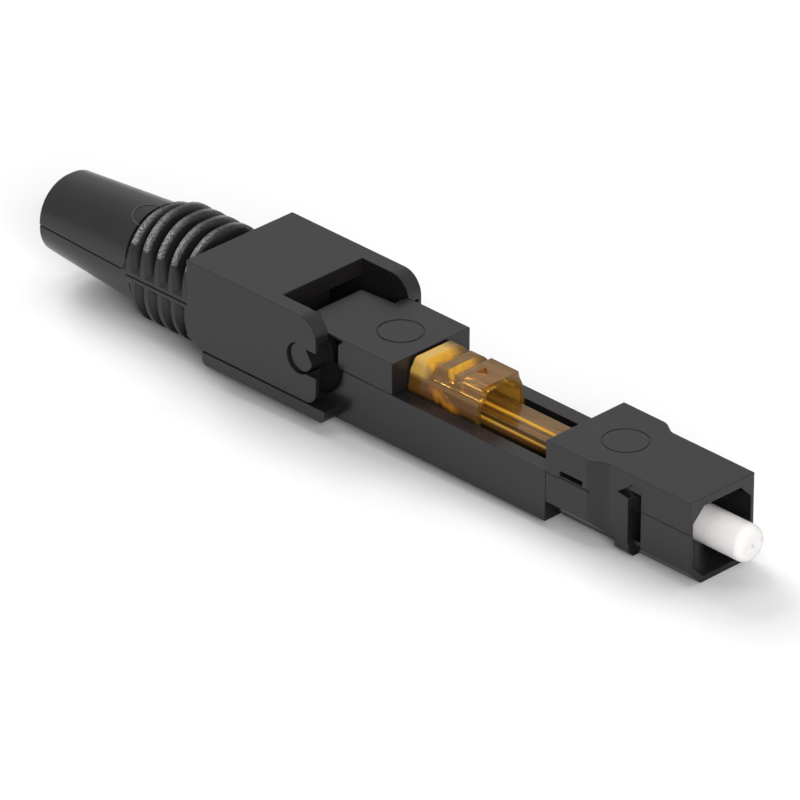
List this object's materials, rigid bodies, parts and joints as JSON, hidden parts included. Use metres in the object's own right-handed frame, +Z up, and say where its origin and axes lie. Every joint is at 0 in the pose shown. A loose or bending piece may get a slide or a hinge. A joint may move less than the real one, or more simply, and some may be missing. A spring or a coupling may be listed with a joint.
{
  "type": "sc fibre connector",
  "caption": "Field-installable SC fibre connector without its grip: square plug frame round a sprung ferrule, splice with locking slide, and a flip cover that clamps the cable.",
  "frame": {"origin": "on the optical axis, in the plane of the plug frame's front face", "axes": "+X along the optical axis towards the mating side, +Y across, +Z up, away from the side the connector lies on"},
  "size_m": [0.0613, 0.0094, 0.0084],
  "materials": {
    "housing_black": "matte moulded",
    "amber_plastic": "semi-gloss, translucent amber",
    "zirconia": "polished ceramic",
    "holder_metal": "turned",
    "spring_steel": "drawn wire",
    "silica": "polished glass"
  },
  "bodies": {
    "housing": {"body": "housing_black", "fibre_cover": "housing_black", "splice_base": "amber_plastic", "splice_lid": "amber_plastic", "plug_frame": "housing_black", "ferrule_spring": "spring_steel"},
    "cover": {"flip_cover": "housing_black"},
    "lock_slide": {"slider": "amber_plastic"},
    "ferrule_unit": {"ferrule": "zirconia", "ferrule_holder": "holder_metal", "fibre_stub": "silica"}
  },
  "joints": [
    {"name": "cover_hinge", "type": "hinge", "parent": "housing", "child": "cover", "pos_m": [-0.03254, 0, 0.00108], "axis": [0, 1, 0], "range_deg": [0, 100]},
    {"name": "slider_travel", "type": "slide", "parent": "housing", "child": "lock_slide", "axis": [1, 0, 0], "range_m": [0, 0.0073]},
    {"name": "ferrule_float", "type": "slide", "parent": "housing", "child": "ferrule_unit", "axis": [-1, 0, 0], "range_m": [0, 0.0008], "stiffness_N_per_m": 2000, "deforming": ["ferrule_spring"]}
  ]
}
